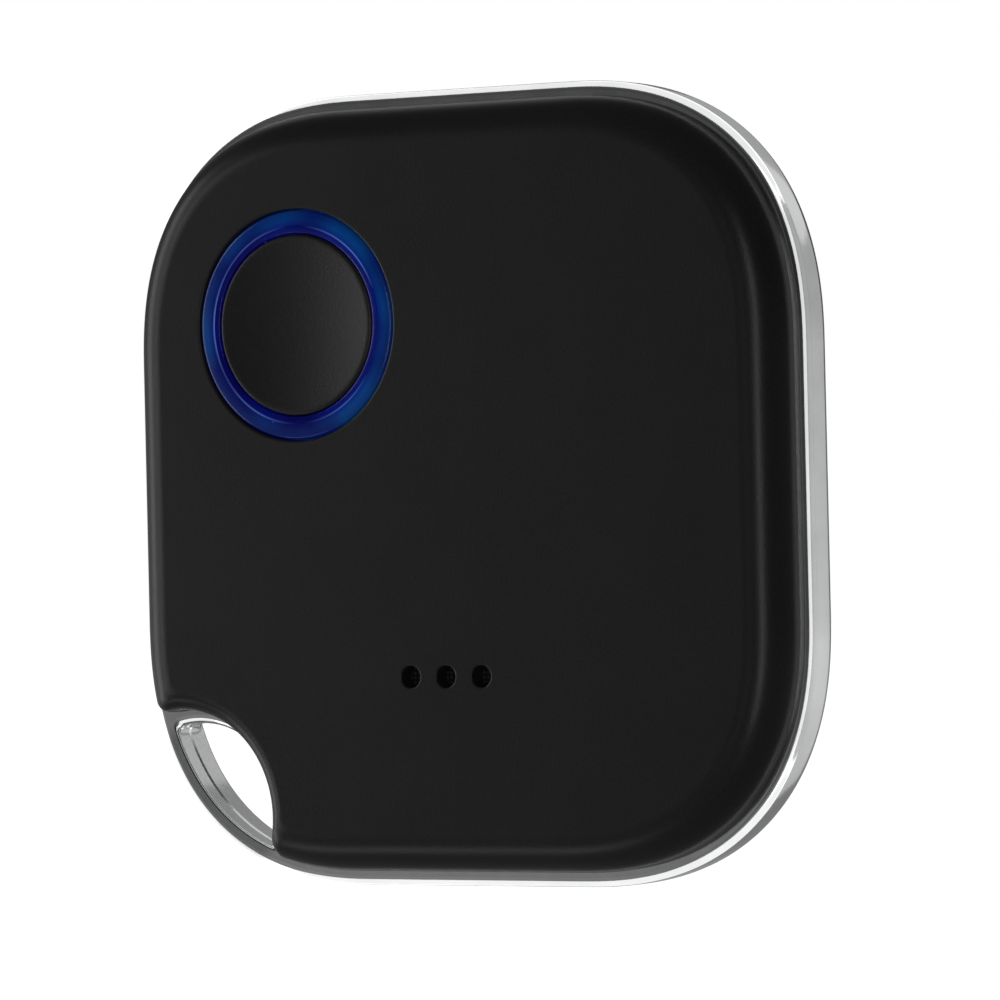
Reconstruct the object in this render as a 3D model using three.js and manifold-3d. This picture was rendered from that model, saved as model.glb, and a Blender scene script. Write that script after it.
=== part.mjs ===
// Bluetooth tracker tag: a rounded square tag with a push button inside a light ring, three
// sound holes, and a metal frame that goes on as a key-ring loop at the lower left corner.
//
// Millimetres. The front faces -Y, +Z is the top edge, and +X is the right-hand side seen from
// the front. The origin is the centre of the rear cover's flat back face. Outlines are drawn
// in the X-Z plane, anticlockwise as seen from the front, and every depth is a Y value.

import * as THREE from 'three';
import { mergeVertices } from 'three/addons/utils/BufferGeometryUtils.js';
import Module from 'manifold-3d';

const wasm = await Module();
wasm.setup();

// ---- Driving dimensions ----

const halfWidth = 18;
const halfHeight = 18.25;
const cornerReach = 12.25;
const cornerPower = 2.36;
const cornerSteps = 12;

const rearDepth = 1.8;
const frameDepth = 2.2;
const frontDepth = 2;
const frameRearY = -rearDepth;
const frameFrontY = frameRearY - frameDepth;
const frontY = frameFrontY - frontDepth;

// The bite out of the lower left corner, behind which the frame runs on as the loop.
const bite = { x: -15.15, z: -15.05, radius: 4.3, steps: 10 };
const lipRadius = 0.6;
const lipSteps = 2;
const loopThickness = 0.85;

// Edges. An inset is a distance inwards from the frame's outline.
const frameFrontFillet = 0.4;
const frameRearFillet = 0.9;
const ledge = 0.28;
const coverBaseWall = 0.2;
const coverBiteFillet = 0.88;
const edgeSteps = 5;
const filletSteps = 3;

// Walls, and the tongues by which the covers sit in the frame.
const frameWall = 1.4;
const slideGap = 0.05;
const tongueOuterInset = frameWall + slideGap;
const cavityInset = 2.2;
const tongueDepth = 0.7;
const frontInnerY = frontY + 0.85;
const rearInnerY = -0.75;
const overlap = 0.2;

// Button, light ring and switch, all on one axis.
const button = { x: -7.9, z: 7.67, radius: 4.14, faceY: frontY + 0.02, dish: 0.3 };
const buttonFlange = { radius: 4.7, frontY: frontY + 1.23, rearY: frontY + 1.55 };
const buttonTravel = 0.25;
const ring = { inner: 4.24, outer: 5.27, flange: 5.8, faceY: frontY + 0.02, rearY: frontY + 1.2 };
const ringHoleRadius = ring.outer + 0.08;
const holeChamfer = 0.1;
const plunger = { radius: 0.8, frontY: frontY + 1.65, rearY: frontY + 2.3 };

// Sound holes and the sounder behind them.
const sound = { x: -0.1, z: -8.6, pitch: 1.9, holeRadius: 0.5, holes: 3 };
const piezo = { plateRadius: 6, plateThickness: 0.1, ceramicRadius: 4.5, ceramicThickness: 0.12 };
const piezoSeatY = frontInnerY + 0.2;
const piezoRimY = frontInnerY + 0.5;

// Circuit board.
const boardInset = 2.5;
const boardFrontY = -3.4;
const boardThickness = 0.6;
const boardRearY = boardFrontY + boardThickness;
const solderGap = 0.02;

// Coin cell, 20 mm across and 3.2 mm thick.
const cell = { x: 5.3, z: -5.6, radius: 10, thickness: 3.2, rearY: -1 };
const cellFrontY = cell.rearY - cell.thickness;
const canWall = 0.25;
const lidRadius = 8.85;

// Screws, from the rear through board and frame lug into a post of the front cover.
const screwPlaces = [
  { x: 1, z: 13.9, towardsWall: [0, 1] },
  { x: 13.4, z: 8.6, towardsWall: [1, 0] },
  { x: -13.7, z: -4.6, towardsWall: [-1, 0] },
  { x: -6.3, z: -13.7, towardsWall: [0, -1] },
];
const screw = { shankRadius: 0.65, headRadius: 1.25, headHeight: 0.5, tipY: frontInnerY + 0.3 };
const postRadius = 1.5;
const lug = { radius: 1.7, frontY: frameFrontY + 0.05, rearY: boardFrontY - solderGap, reach: 4 };
const screwHoleRadius = 0.85;

// ---- Materials ----

const blackPlastic = material(0x212121, 0.6, 0);
const chrome = material(0xc4c6c8, 0.12, 1);
const bluePlastic = material(0x0a2f8c, 0.15, 0);
const boardGreen = material(0x0c4a2c, 0.5, 0);
const whiteCeramic = material(0xe4e0d2, 0.5, 0);
const chipBlack = material(0x17171a, 0.45, 0);
const tinned = material(0xb9bcc0, 0.3, 1);
const brass = material(0xc9a24b, 0.3, 1);
const capacitorTan = material(0xa98b63, 0.5, 0);
const gasketBlue = material(0x2a3340, 0.7, 0);
const redSleeve = material(0xa01818, 0.5, 0);
const blackSleeve = material(0x151515, 0.5, 0);
const meshFabric = material(0x1b1b1b, 0.9, 0);
const greyFoam = material(0x4a4a4c, 0.95, 0);

function material(color, roughness, metalness) {
  return new THREE.MeshStandardMaterial({ color, roughness, metalness });
}

// ---- Outlines ----

// The four corners, anticlockwise from the lower left one. At a corner the outline turns from
// facing `from` to facing `to`.
const corners = [
  { from: new THREE.Vector2(-1, 0), to: new THREE.Vector2(0, -1) },
  { from: new THREE.Vector2(0, -1), to: new THREE.Vector2(1, 0) },
  { from: new THREE.Vector2(1, 0), to: new THREE.Vector2(0, 1) },
  { from: new THREE.Vector2(0, 1), to: new THREE.Vector2(-1, 0) },
];

function blend({ from, to }, angle, power) {
  return new THREE.Vector2()
    .addScaledVector(from, Math.cos(angle) ** power)
    .addScaledVector(to, Math.sin(angle) ** power);
}

// The direction that the outline faces at `fraction` of the way round a corner.
function rimNormal(corner, fraction) {
  const angle = Math.min(fraction, 1) * Math.PI / 2;
  return blend(corner, angle, 2 - 2 / cornerPower).normalize();
}

// A point of the tag's rounded square, moved inwards by `inset`.
function rimPoint(corner, fraction, inset) {
  const side = new THREE.Vector2().addVectors(corner.from, corner.to);
  const centre = new THREE.Vector2(halfWidth - cornerReach, halfHeight - cornerReach).multiply(side);
  const angle = Math.min(fraction, 1) * Math.PI / 2;
  return centre
    .addScaledVector(blend(corner, angle, 2 / cornerPower), cornerReach)
    .addScaledVector(rimNormal(corner, fraction), -inset);
}

function rimStretch(corner, start, end, steps, inset) {
  return range(steps + 1).map((i) => rimPoint(corner, start + (end - start) * i / steps, inset));
}

// The whole rounded square, as the frame has it with its loop.
function rimOutline(inset) {
  return corners.flatMap((corner) => rimStretch(corner, 0, 1, cornerSteps, inset));
}

// Where the rounded square, moved inwards by `inset`, meets a circle round the bite's centre, as
// a fraction of the lower left corner.
function biteCrossing(inset, radius, low, high) {
  const centre = new THREE.Vector2(bite.x, bite.z);
  const outside = (fraction) => rimPoint(corners[0], fraction, inset).distanceTo(centre) > radius;
  const lowIsOutside = outside(low);
  for (let i = 0; i < 40; i += 1) {
    const middle = (low + high) / 2;
    if (outside(middle) === lowIsOutside) low = middle;
    else high = middle;
  }
  return (low + high) / 2;
}

function turn(centre, radius, startAngle, endAngle, steps) {
  return range(steps + 1).map((i) => {
    const angle = startAngle + (endAngle - startAngle) * i / steps;
    return new THREE.Vector2(centre.x + radius * Math.cos(angle), centre.y + radius * Math.sin(angle));
  });
}

// The rounded square with the bite taken out, which may have an inset of its own. The two lips
// beside the bite are rounded.
function tagOutline(inset, biteInset = inset) {
  const centre = new THREE.Vector2(bite.x, bite.z);
  const biteRadius = bite.radius + biteInset;
  const lipInset = inset + lipRadius;
  const leftEnd = biteCrossing(lipInset, biteRadius + lipRadius, 0, 0.5);
  const lowerEnd = biteCrossing(lipInset, biteRadius + lipRadius, 0.5, 1);
  const lips = [leftEnd, lowerEnd].map((fraction) => {
    const middle = rimPoint(corners[0], fraction, lipInset);
    return {
      middle,
      rimAngle: rimNormal(corners[0], fraction).angle(),
      biteAngle: centre.clone().sub(middle).angle(),
    };
  });
  const [left, lower] = lips;
  const steps = cornerSteps / 3;
  return [
    ...rimStretch(corners[0], lowerEnd, 1, steps, inset),
    ...corners.slice(1).flatMap((corner) => rimStretch(corner, 0, 1, cornerSteps, inset)),
    ...rimStretch(corners[0], 0, leftEnd, steps, inset),
    ...turn(left.middle, lipRadius, left.rimAngle, left.biteAngle, lipSteps).slice(1, -1),
    ...turn(centre, biteRadius, left.biteAngle - Math.PI, lower.biteAngle - Math.PI, bite.steps),
    ...turn(lower.middle, lipRadius, lower.biteAngle, lower.rimAngle, lipSteps).slice(1, -1),
  ];
}

// ---- Solids ----

function range(count) {
  return Array.from({ length: count }, (_, i) => i);
}

// A closed geometry through outlines of equal length, given from rear to front.
function loft(rings) {
  const count = rings[0].outline.length;
  const positions = rings.flatMap(({ outline, y }) => outline.flatMap((p) => [p.x, y, p.y]));
  const indices = [];
  for (let level = 0; level < rings.length - 1; level += 1) {
    for (let i = 0; i < count; i += 1) {
      const rear = level * count + i;
      const rearNext = level * count + (i + 1) % count;
      indices.push(rear, rearNext, rearNext + count, rear, rearNext + count, rear + count);
    }
  }
  addCap(indices, rings[0].outline, 0, false);
  addCap(indices, rings.at(-1).outline, (rings.length - 1) * count, true);
  const geometry = new THREE.BufferGeometry();
  geometry.setAttribute('position', new THREE.Float32BufferAttribute(positions, 3));
  geometry.setIndex(indices);
  return geometry;
}

function addCap(indices, outline, offset, facesFront) {
  for (const [a, b, c] of THREE.ShapeUtils.triangulateShape(outline, [])) {
    const isAnticlockwise = THREE.ShapeUtils.area([outline[a], outline[b], outline[c]]) > 0;
    const order = isAnticlockwise === facesFront ? [a, b, c] : [a, c, b];
    indices.push(...order.map((i) => i + offset));
  }
}

function solidOf(geometry) {
  const bare = geometry.clone();
  bare.deleteAttribute('normal');
  bare.deleteAttribute('uv');
  const merged = mergeVertices(bare, 1e-4);
  const corner = Array.from(merged.index.array);
  const triangles = range(corner.length / 3)
    .map((i) => corner.slice(3 * i, 3 * i + 3))
    .filter(([a, b, c]) => a !== b && b !== c && c !== a);
  return new wasm.Manifold(new wasm.Mesh({
    numProp: 3,
    vertProperties: new Float32Array(merged.attributes.position.array),
    triVerts: new Uint32Array(triangles.flat()),
  }));
}

function geometryOf(solid) {
  const { vertProperties, triVerts } = solid.getMesh();
  const geometry = new THREE.BufferGeometry();
  geometry.setAttribute('position', new THREE.BufferAttribute(vertProperties, 3));
  geometry.setIndex(new THREE.BufferAttribute(triVerts, 1));
  return geometry;
}

function part(name, solid, look) {
  const mesh = new THREE.Mesh(geometryOf(solid), look);
  mesh.name = name;
  return mesh;
}

function prism(outline, rearY, faceY) {
  return solidOf(loft([{ y: rearY, outline }, { y: faceY, outline }]));
}

function disc(place, radius, rearY, faceY, segments = 16) {
  const geometry = new THREE.CylinderGeometry(radius, radius, rearY - faceY, segments);
  return solidOf(geometry.translate(place.x, (rearY + faceY) / 2, place.z));
}

// A truncated cone, with its own radius at each end.
function cone(place, rearRadius, faceRadius, rearY, faceY, segments = 16) {
  const geometry = new THREE.CylinderGeometry(rearRadius, faceRadius, rearY - faceY, segments);
  return solidOf(geometry.translate(place.x, (rearY + faceY) / 2, place.z));
}

function tube(place, innerRadius, outerRadius, rearY, faceY, segments = 32) {
  const bore = disc(place, innerRadius, rearY + overlap, faceY - overlap, segments);
  return disc(place, outerRadius, rearY, faceY, segments).subtract(bore);
}

function block(low, high) {
  const size = new THREE.Vector3().subVectors(high, low);
  const middle = new THREE.Vector3().addVectors(low, high).divideScalar(2);
  return solidOf(new THREE.BoxGeometry(size.x, size.y, size.z).translate(...middle.toArray()));
}

function blockAt(x, z, width, height, rearY, faceY) {
  const low = new THREE.Vector3(x - width / 2, faceY, z - height / 2);
  const high = new THREE.Vector3(x + width / 2, rearY, z + height / 2);
  return block(low, high);
}

// A solid turned about an axis along Y. The profile is a list of [radius, y] from front to rear.
function turned(place, profile, segments = 40) {
  const points = profile.map(([radius, y]) => new THREE.Vector2(radius, y));
  const geometry = new THREE.LatheGeometry(points, segments);
  return solidOf(geometry.translate(place.x, 0, place.z));
}

// A strip of sheet metal bent along a path of [distance, y], `width` wide. It runs from the
// place given, in the direction `heading` degrees anticlockwise from +X as seen from the front.
function bentStrip(place, heading, path, thickness, width) {
  const points = path.map(([distance, y]) => new THREE.Vector2(distance, y));
  const sides = [1, -1].map((side) => points.map((point, i) => {
    const before = points[Math.max(i - 1, 0)];
    const after = points[Math.min(i + 1, points.length - 1)];
    const incoming = point.clone().sub(before).normalize();
    const outgoing = after.clone().sub(point).normalize();
    const along = incoming.add(outgoing).normalize();
    const straight = outgoing.lengthSq() > 0 ? outgoing : incoming;
    const stretch = 1 / Math.max(Math.abs(along.dot(straight)), 0.5);
    const across = new THREE.Vector2(-along.y, along.x).multiplyScalar(side * stretch * thickness / 2);
    return point.clone().add(across);
  }));
  const shape = new THREE.Shape([...sides[0], ...sides[1].reverse()]);
  const geometry = new THREE.ExtrudeGeometry(shape, { depth: width, bevelEnabled: false });
  geometry.translate(0, 0, -width / 2);
  geometry.rotateY(-THREE.MathUtils.degToRad(heading));
  return solidOf(geometry.translate(place.x, 0, place.z));
}

function union(solids) {
  return solids.reduce((whole, solid) => whole.add(solid));
}

// ---- Covers and frame ----

// How far an edge of this radius has drawn in from its wall, so deep below the face.
function drawnIn(radius, depth) {
  return radius - Math.sqrt(radius ** 2 - Math.max(radius - depth, 0) ** 2);
}

// The rings of a cover, from its base on the frame to its face, in order from rear to front.
// Its edge is rounded over nearly its whole depth, but much more tightly along the bite.
function coverRings(baseY, faceY, baseInset) {
  const outwards = Math.sign(faceY - baseY);
  const radius = Math.abs(faceY - baseY) - coverBaseWall;
  const rounding = range(edgeSteps + 1).map((i) => {
    const depth = radius * (1 - Math.sin((i / edgeSteps) * Math.PI / 2));
    const inset = baseInset + drawnIn(radius, depth);
    const biteInset = baseInset + drawnIn(coverBiteFillet, depth);
    return { y: faceY - outwards * depth, outline: tagOutline(inset, biteInset) };
  });
  const rings = [{ y: baseY, outline: tagOutline(baseInset) }, ...rounding];
  return rings.sort((a, b) => b.y - a.y);
}

function screwPosts() {
  return screwPlaces.map((place) => disc(place, postRadius, lug.frontY - solderGap, frontInnerY - overlap));
}

function piezoSeat() {
  const innerRadius = piezo.plateRadius - 0.7;
  const outerRadius = piezo.plateRadius + 0.1;
  const step = tube(sound, innerRadius, outerRadius, piezoSeatY, frontInnerY - overlap);
  const rim = tube(sound, piezo.plateRadius + 0.1, piezo.plateRadius + 0.7, piezoRimY, frontInnerY - overlap);
  const wireNotch = blockAt(sound.x - piezo.plateRadius, sound.z - 0.3, 3, 3.6, 0, piezoSeatY);
  return step.add(rim).subtract(wireNotch);
}

// The upright rib that keeps the coin cell away from the right-hand wall.
function cellRib() {
  const ribInner = cell.radius + 0.3;
  const wholeRib = tube(cell, ribInner, ribInner + 0.7, boardFrontY - 0.5, frontInnerY - overlap);
  const rightSide = blockAt(cell.x + cell.radius, cell.z - 2, 12, 14, 0, frontY);
  return wholeRib.intersect(rightSide);
}

// What is cut out of the front cover from its face: the ring's hole and the sound holes.
function frontOpenings() {
  const through = frontInnerY + overlap;
  const soundHoles = range(sound.holes).flatMap((i) => {
    const place = { x: sound.x + (i - (sound.holes - 1) / 2) * sound.pitch, z: sound.z };
    const rimRadius = sound.holeRadius + 0.08;
    return [
      disc(place, sound.holeRadius, through, frontY - overlap, 12),
      cone(place, sound.holeRadius - 0.02, rimRadius, frontY + 0.1, frontY, 12),
    ];
  });
  return union([
    disc(button, ringHoleRadius, through, frontY - overlap, 40),
    cone(button, ringHoleRadius - 0.02, ringHoleRadius + holeChamfer, frontY + holeChamfer, frontY, 40),
    ...soundHoles,
  ]);
}

function frontCover() {
  const tongueEndY = frameFrontY + tongueDepth;
  const shell = solidOf(loft(coverRings(frameFrontY, frontY, frameFrontFillet + ledge)));
  const tongue = prism(tagOutline(tongueOuterInset), tongueEndY, frameFrontY - overlap);
  const cavity = prism(tagOutline(cavityInset), tongueEndY + overlap, frontInnerY);
  const fittings = union([...screwPosts(), piezoSeat(), cellRib()]);
  const reach = prism(tagOutline(tongueOuterInset + 0.1), tongueEndY, frontY + 0.3);
  const pilotHoles = screwPlaces.map((place) => (
    disc(place, screw.shankRadius + 0.05, 0, screw.tipY - 0.1, 16)
  ));
  const lugNotches = screwPlaces.map((place) => (
    lugBlank(place, lug.radius + 0.15, 0, lug.frontY - solderGap)
  ));
  const solid = shell
    .add(tongue)
    .subtract(cavity)
    .add(fittings.intersect(reach))
    .subtract(union([...pilotHoles, ...lugNotches, frontOpenings()]));
  return part('front_cover', solid, blackPlastic);
}

// A tongue with a round end on the screw's axis, running towards the nearest wall.
function lugBlank(place, radius, rearY, faceY) {
  const [alongX, alongZ] = place.towardsWall;
  const middle = { x: place.x + alongX * lug.reach / 2, z: place.z + alongZ * lug.reach / 2 };
  const width = alongX === 0 ? 2 * radius : lug.reach;
  const height = alongZ === 0 ? 2 * radius : lug.reach;
  return disc(place, radius, rearY, faceY).add(blockAt(middle.x, middle.z, width, height, rearY, faceY));
}

function frameLugs() {
  const inside = prism(tagOutline(frameWall - overlap), lug.rearY, lug.frontY);
  const blanks = union(screwPlaces.map((place) => lugBlank(place, lug.radius, lug.rearY, lug.frontY)));
  const holes = union(screwPlaces.map((place) => disc(place, screwHoleRadius, 0, frontY)));
  return blanks.intersect(inside).subtract(holes);
}

// Four short keys on the rear cover's tongue sit in slots of the frame and locate it.
function coverKeys(width, depth, endY) {
  const wallX = halfWidth - frameWall;
  const wallZ = halfHeight - frameWall;
  const keyZ = 1.5;
  const places = [
    { x: wallX, z: keyZ, width: 2 * depth, height: width },
    { x: -wallX, z: keyZ, width: 2 * depth, height: width },
    { x: 0, z: wallZ, width, height: 2 * depth },
    { x: 0, z: -wallZ, width, height: 2 * depth },
  ];
  return union(places.map((key) => blockAt(key.x, key.z, key.width, key.height, frameRearY + overlap, endY)));
}

// The opening of the loop: a round bore with flared mouths, cut off by the loop's inner wall.
function loopOpening() {
  const flare = (radius, faceY, inwards) => range(filletSteps + 1).map((i) => {
    const angle = (i / filletSteps) * Math.PI / 2;
    return [bite.radius + radius * (1 - Math.sin(angle)), faceY + inwards * radius * (1 - Math.cos(angle))];
  });
  const profile = [
    [0, frontY],
    [bite.radius + frameFrontFillet, frontY],
    ...flare(frameFrontFillet, frameFrontY, 1),
    ...flare(frameRearFillet, frameRearY, -1).reverse(),
    [bite.radius + frameRearFillet, 0],
    [0, 0],
  ];
  return turned(bite, profile).intersect(prism(rimOutline(loopThickness), 0, frontY));
}

function midFrame() {
  const edge = (radius, faceY, inwards) => range(filletSteps + 1).map((i) => {
    const angle = (i / filletSteps) * Math.PI / 2;
    return {
      y: faceY + inwards * radius * (1 - Math.sin(angle)),
      outline: rimOutline(radius * (1 - Math.cos(angle))),
    };
  });
  const rings = [...edge(frameRearFillet, frameRearY, -1), ...edge(frameFrontFillet, frameFrontY, 1)];
  const body = solidOf(loft(rings.sort((a, b) => b.y - a.y)));
  const bay = prism(tagOutline(frameWall), 0, frontY);
  const keySlots = coverKeys(3.2, 0.2, frameRearY - tongueDepth - 0.1);
  const solid = body.subtract(bay).subtract(loopOpening()).subtract(keySlots).add(frameLugs());
  return part('mid_frame', solid, chrome);
}

function rearCover() {
  const tongueEndY = frameRearY - tongueDepth;
  const shell = solidOf(loft(coverRings(frameRearY, 0, frameRearFillet + ledge)));
  const tongue = prism(tagOutline(tongueOuterInset), frameRearY + overlap, tongueEndY);
  const cavity = prism(tagOutline(cavityInset), rearInnerY, tongueEndY - overlap);
  const keys = coverKeys(3, 0.15, tongueEndY);
  const tongueRoom = prism(tagOutline(cavityInset), 0, tongueEndY - overlap);
  const pryNotch = blockAt(0, -halfHeight, 6, 3.4, frameRearY + 0.5, frameRearY - slideGap);
  const solid = shell
    .add(tongue)
    .subtract(cavity)
    .subtract(pryNotch)
    .add(keys.subtract(tongueRoom));
  return part('rear_cover', solid, blackPlastic);
}

// ---- Button, light ring and switch ----

function buttonCap() {
  const roundingSteps = 3;
  const dishSteps = 4;
  const edge = 0.15;
  const dishRadius = button.radius - edge;
  const dish = range(dishSteps + 1).map((i) => {
    const radius = dishRadius * i / dishSteps;
    return [radius, button.faceY + button.dish * (1 - (radius / dishRadius) ** 2)];
  });
  const rounding = range(roundingSteps).map((i) => {
    const angle = ((i + 1) / roundingSteps) * Math.PI / 2;
    return [dishRadius + edge * Math.sin(angle), button.faceY + edge * (1 - Math.cos(angle))];
  });
  const pocket = { inner: 1.7, outer: 3.6, frontY: buttonFlange.frontY - 0.2 };
  const profile = [
    ...dish,
    ...rounding,
    [button.radius, buttonFlange.frontY],
    [buttonFlange.radius, buttonFlange.frontY],
    [buttonFlange.radius, buttonFlange.rearY],
    [pocket.outer, buttonFlange.rearY],
    [pocket.outer, pocket.frontY],
    [pocket.inner, pocket.frontY],
    [pocket.inner, plunger.frontY - solderGap],
    [0, plunger.frontY - solderGap],
  ];
  return part('button_cap', turned(button, profile), blackPlastic);
}

function lightRing() {
  const bevelRadius = ring.inner + 0.1;
  const bevelDepth = 0.08;
  const outerEdge = 0.08;
  const flangeFrontY = frontInnerY + solderGap;
  const profile = [
    [ring.inner, ring.faceY + bevelDepth],
    [bevelRadius, ring.faceY],
    [ring.outer - outerEdge, ring.faceY],
    [ring.outer, ring.faceY + outerEdge],
    [ring.outer, flangeFrontY],
    [ring.flange, flangeFrontY],
    [ring.flange, ring.rearY],
    [ring.inner, ring.rearY],
    [ring.inner, ring.faceY + bevelDepth],
  ];
  return part('light_ring', turned(button, profile), bluePlastic);
}

function switchParts() {
  const bodySize = 3.2;
  const bodyFrontY = frontY + 1.95;
  const bodyRearY = boardFrontY - solderGap;
  const boreRadius = plunger.radius + 0.06;
  const body = blockAt(button.x, button.z, bodySize, bodySize, bodyRearY, bodyFrontY)
    .subtract(disc(button, boreRadius, 0, frontY));
  const edge = 0.1;
  const plungerProfile = [
    [0, plunger.frontY],
    [plunger.radius - edge, plunger.frontY],
    [plunger.radius, plunger.frontY + edge],
    [plunger.radius, plunger.rearY],
    [0, plunger.rearY],
  ];
  return [
    part('switch_body', body, chipBlack),
    part('switch_plunger', turned(button, plungerProfile, 20), whiteCeramic),
  ];
}

function leds() {
  const orbit = 5.45;
  const height = 0.5;
  const frontFaceY = boardFrontY - solderGap - height;
  return range(4).map((i) => {
    const angle = Math.PI / 4 + i * Math.PI / 2;
    const x = button.x + orbit * Math.cos(angle);
    const z = button.z + orbit * Math.sin(angle);
    const body = blockAt(x, z, 1.2, 0.8, boardFrontY - solderGap, frontFaceY + 0.15);
    const lens = blockAt(x, z, 0.8, 0.6, frontFaceY + 0.2, frontFaceY);
    return part(`led_${i + 1}`, body.add(lens), whiteCeramic);
  });
}

// ---- Board and what is soldered to it ----

function circuitBoard() {
  const blank = prism(tagOutline(boardInset), boardRearY, boardFrontY);
  const cellRoom = disc(cell, cell.radius + 0.6, 0, frontY, 48);
  const rightRoom = blockAt(cell.x + 10, cell.z - 2, 20, 18, 0, frontY);
  const lowerRoom = blockAt(cell.x, -halfHeight, 15.6, 18, 0, frontY);
  const holes = screwPlaces.map((place) => disc(place, screwHoleRadius, 0, frontY, 16));
  return part('circuit_board', blank.subtract(union([cellRoom, rightRoom, lowerRoom, ...holes])), boardGreen);
}

// Components on the board's rear side: name, centre, width, height in Z, thickness and look.
const rearComponents = [
  { name: 'radio_chip', x: -10.4, z: 0.4, width: 5, height: 5, depth: 0.85, look: chipBlack },
  { name: 'radio_crystal', x: -9.6, z: 5.6, width: 3.2, height: 2.5, depth: 0.7, look: tinned },
  { name: 'clock_crystal', x: -13.6, z: 5.4, width: 1.5, height: 3.2, depth: 0.8, look: tinned },
  { name: 'chip_antenna', x: 6.8, z: 14, width: 5.2, height: 2, depth: 1.1, look: whiteCeramic },
  { name: 'power_inductor', x: -10.2, z: 10.4, width: 2.5, height: 2, depth: 1.1, look: chipBlack },
  { name: 'capacitor_1', x: -6.2, z: 3.6, width: 0.8, height: 1.6, depth: 0.8, look: capacitorTan },
  { name: 'capacitor_2', x: -13.8, z: 1.4, width: 0.8, height: 1.6, depth: 0.8, look: capacitorTan },
  { name: 'capacitor_3', x: -7, z: 10.2, width: 1.6, height: 0.8, depth: 0.8, look: capacitorTan },
  { name: 'capacitor_4', x: 5.2, z: 9.8, width: 1.6, height: 0.8, depth: 0.8, look: capacitorTan },
  { name: 'resistor_1', x: 1.6, z: 9.8, width: 1.6, height: 0.8, depth: 0.45, look: chipBlack },
  { name: 'resistor_2', x: -2, z: 9.8, width: 1.6, height: 0.8, depth: 0.45, look: chipBlack },
];

function boardComponents() {
  return rearComponents.map(({ name, x, z, width, height, depth, look }) => {
    const baseY = boardRearY + solderGap;
    return part(name, blockAt(x, z, width, height, baseY + depth, baseY), look);
  });
}

// ---- Coin cell and its contacts ----

function coinCell() {
  const bevel = 0.3;
  const crimpY = cellFrontY + 0.1;
  const crimpRadius = lidRadius + 0.3;
  const boreRadius = cell.radius - canWall;
  const floorY = cell.rearY - canWall;
  const gasketInner = boreRadius - 0.6;
  const shoulderY = crimpY + 0.45;
  const can = [
    [crimpRadius, crimpY],
    [cell.radius - bevel, crimpY],
    [cell.radius, crimpY + bevel],
    [cell.radius, cell.rearY - bevel],
    [cell.radius - bevel, cell.rearY],
    [0, cell.rearY],
    [0, floorY],
    [boreRadius, floorY],
    [boreRadius, shoulderY - 0.2],
    [crimpRadius, shoulderY - 0.2],
    [crimpRadius, crimpY],
  ];
  const gasket = [
    [lidRadius + 0.05, crimpY],
    [crimpRadius - 0.05, crimpY],
    [crimpRadius - 0.05, shoulderY],
    [boreRadius - 0.05, shoulderY],
    [boreRadius - 0.05, floorY - 0.05],
    [gasketInner + 0.05, floorY - 0.05],
    [gasketInner + 0.05, shoulderY + 0.1],
    [lidRadius + 0.05, shoulderY],
    [lidRadius + 0.05, crimpY],
  ];
  const lid = [
    [0, cellFrontY],
    [lidRadius - bevel, cellFrontY],
    [lidRadius, cellFrontY + bevel],
    [lidRadius, floorY - 0.05],
    [0, floorY - 0.05],
  ];
  return [
    part('battery_can', turned(cell, can), tinned),
    part('battery_gasket', turned(cell, gasket), gasketBlue),
    part('battery_lid', turned(cell, lid), tinned),
  ];
}

function batteryPad() {
  return part('battery_pad', disc(cell, 5, rearInnerY - 0.02, cell.rearY + 0.03, 32), greyFoam);
}

// A leaf from the board's front face across the gap, pressing on the cell's lid.
function negativeContact() {
  const thickness = 0.15;
  const footY = boardFrontY - solderGap - thickness / 2;
  const path = [
    [0, footY],
    [2.2, footY],
    [2.45, -4.1],
    [2.8, -4.42],
    [7.5, -4.42],
    [9.6, cellFrontY - 0.03 - thickness / 2],
    [10.4, -4.42],
  ];
  const place = { x: -8, z: -3.4 };
  return part('negative_contact', bentStrip(place, 0, path, thickness, 3), tinned);
}

// A strip from the board's rear face that hooks over the edge and presses on the can's side.
function positiveContact() {
  const thickness = 0.15;
  const canSide = cell.radius + 0.05 + thickness / 2;
  const footY = boardRearY + solderGap + thickness / 2;
  const path = [
    [canSide + 3.4, footY],
    [canSide + 1, footY],
    [canSide + 0.6, -2.1],
    [canSide + 0.2, -1.95],
    [canSide, -2.3],
    [canSide + 0.12, -3.2],
  ];
  return part('positive_contact', bentStrip(cell, 135, path, thickness, 2.6), tinned);
}

// ---- Sounder ----

function sounder() {
  const plateFrontY = piezoSeatY + solderGap;
  const plateRearY = plateFrontY + piezo.plateThickness;
  const ceramicFrontY = plateRearY + solderGap;
  const ceramicRearY = ceramicFrontY + piezo.ceramicThickness;
  const meshRadius = 3.6;
  const meshThickness = 0.08;
  const meshFrontY = frontInnerY + solderGap;
  return [
    part('acoustic_mesh', disc(sound, meshRadius, meshFrontY + meshThickness, meshFrontY, 24), meshFabric),
    part('piezo_plate', disc(sound, piezo.plateRadius, plateRearY, plateFrontY, 32), brass),
    part('piezo_ceramic', disc(sound, piezo.ceramicRadius, ceramicRearY, ceramicFrontY, 32), whiteCeramic),
  ];
}

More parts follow.
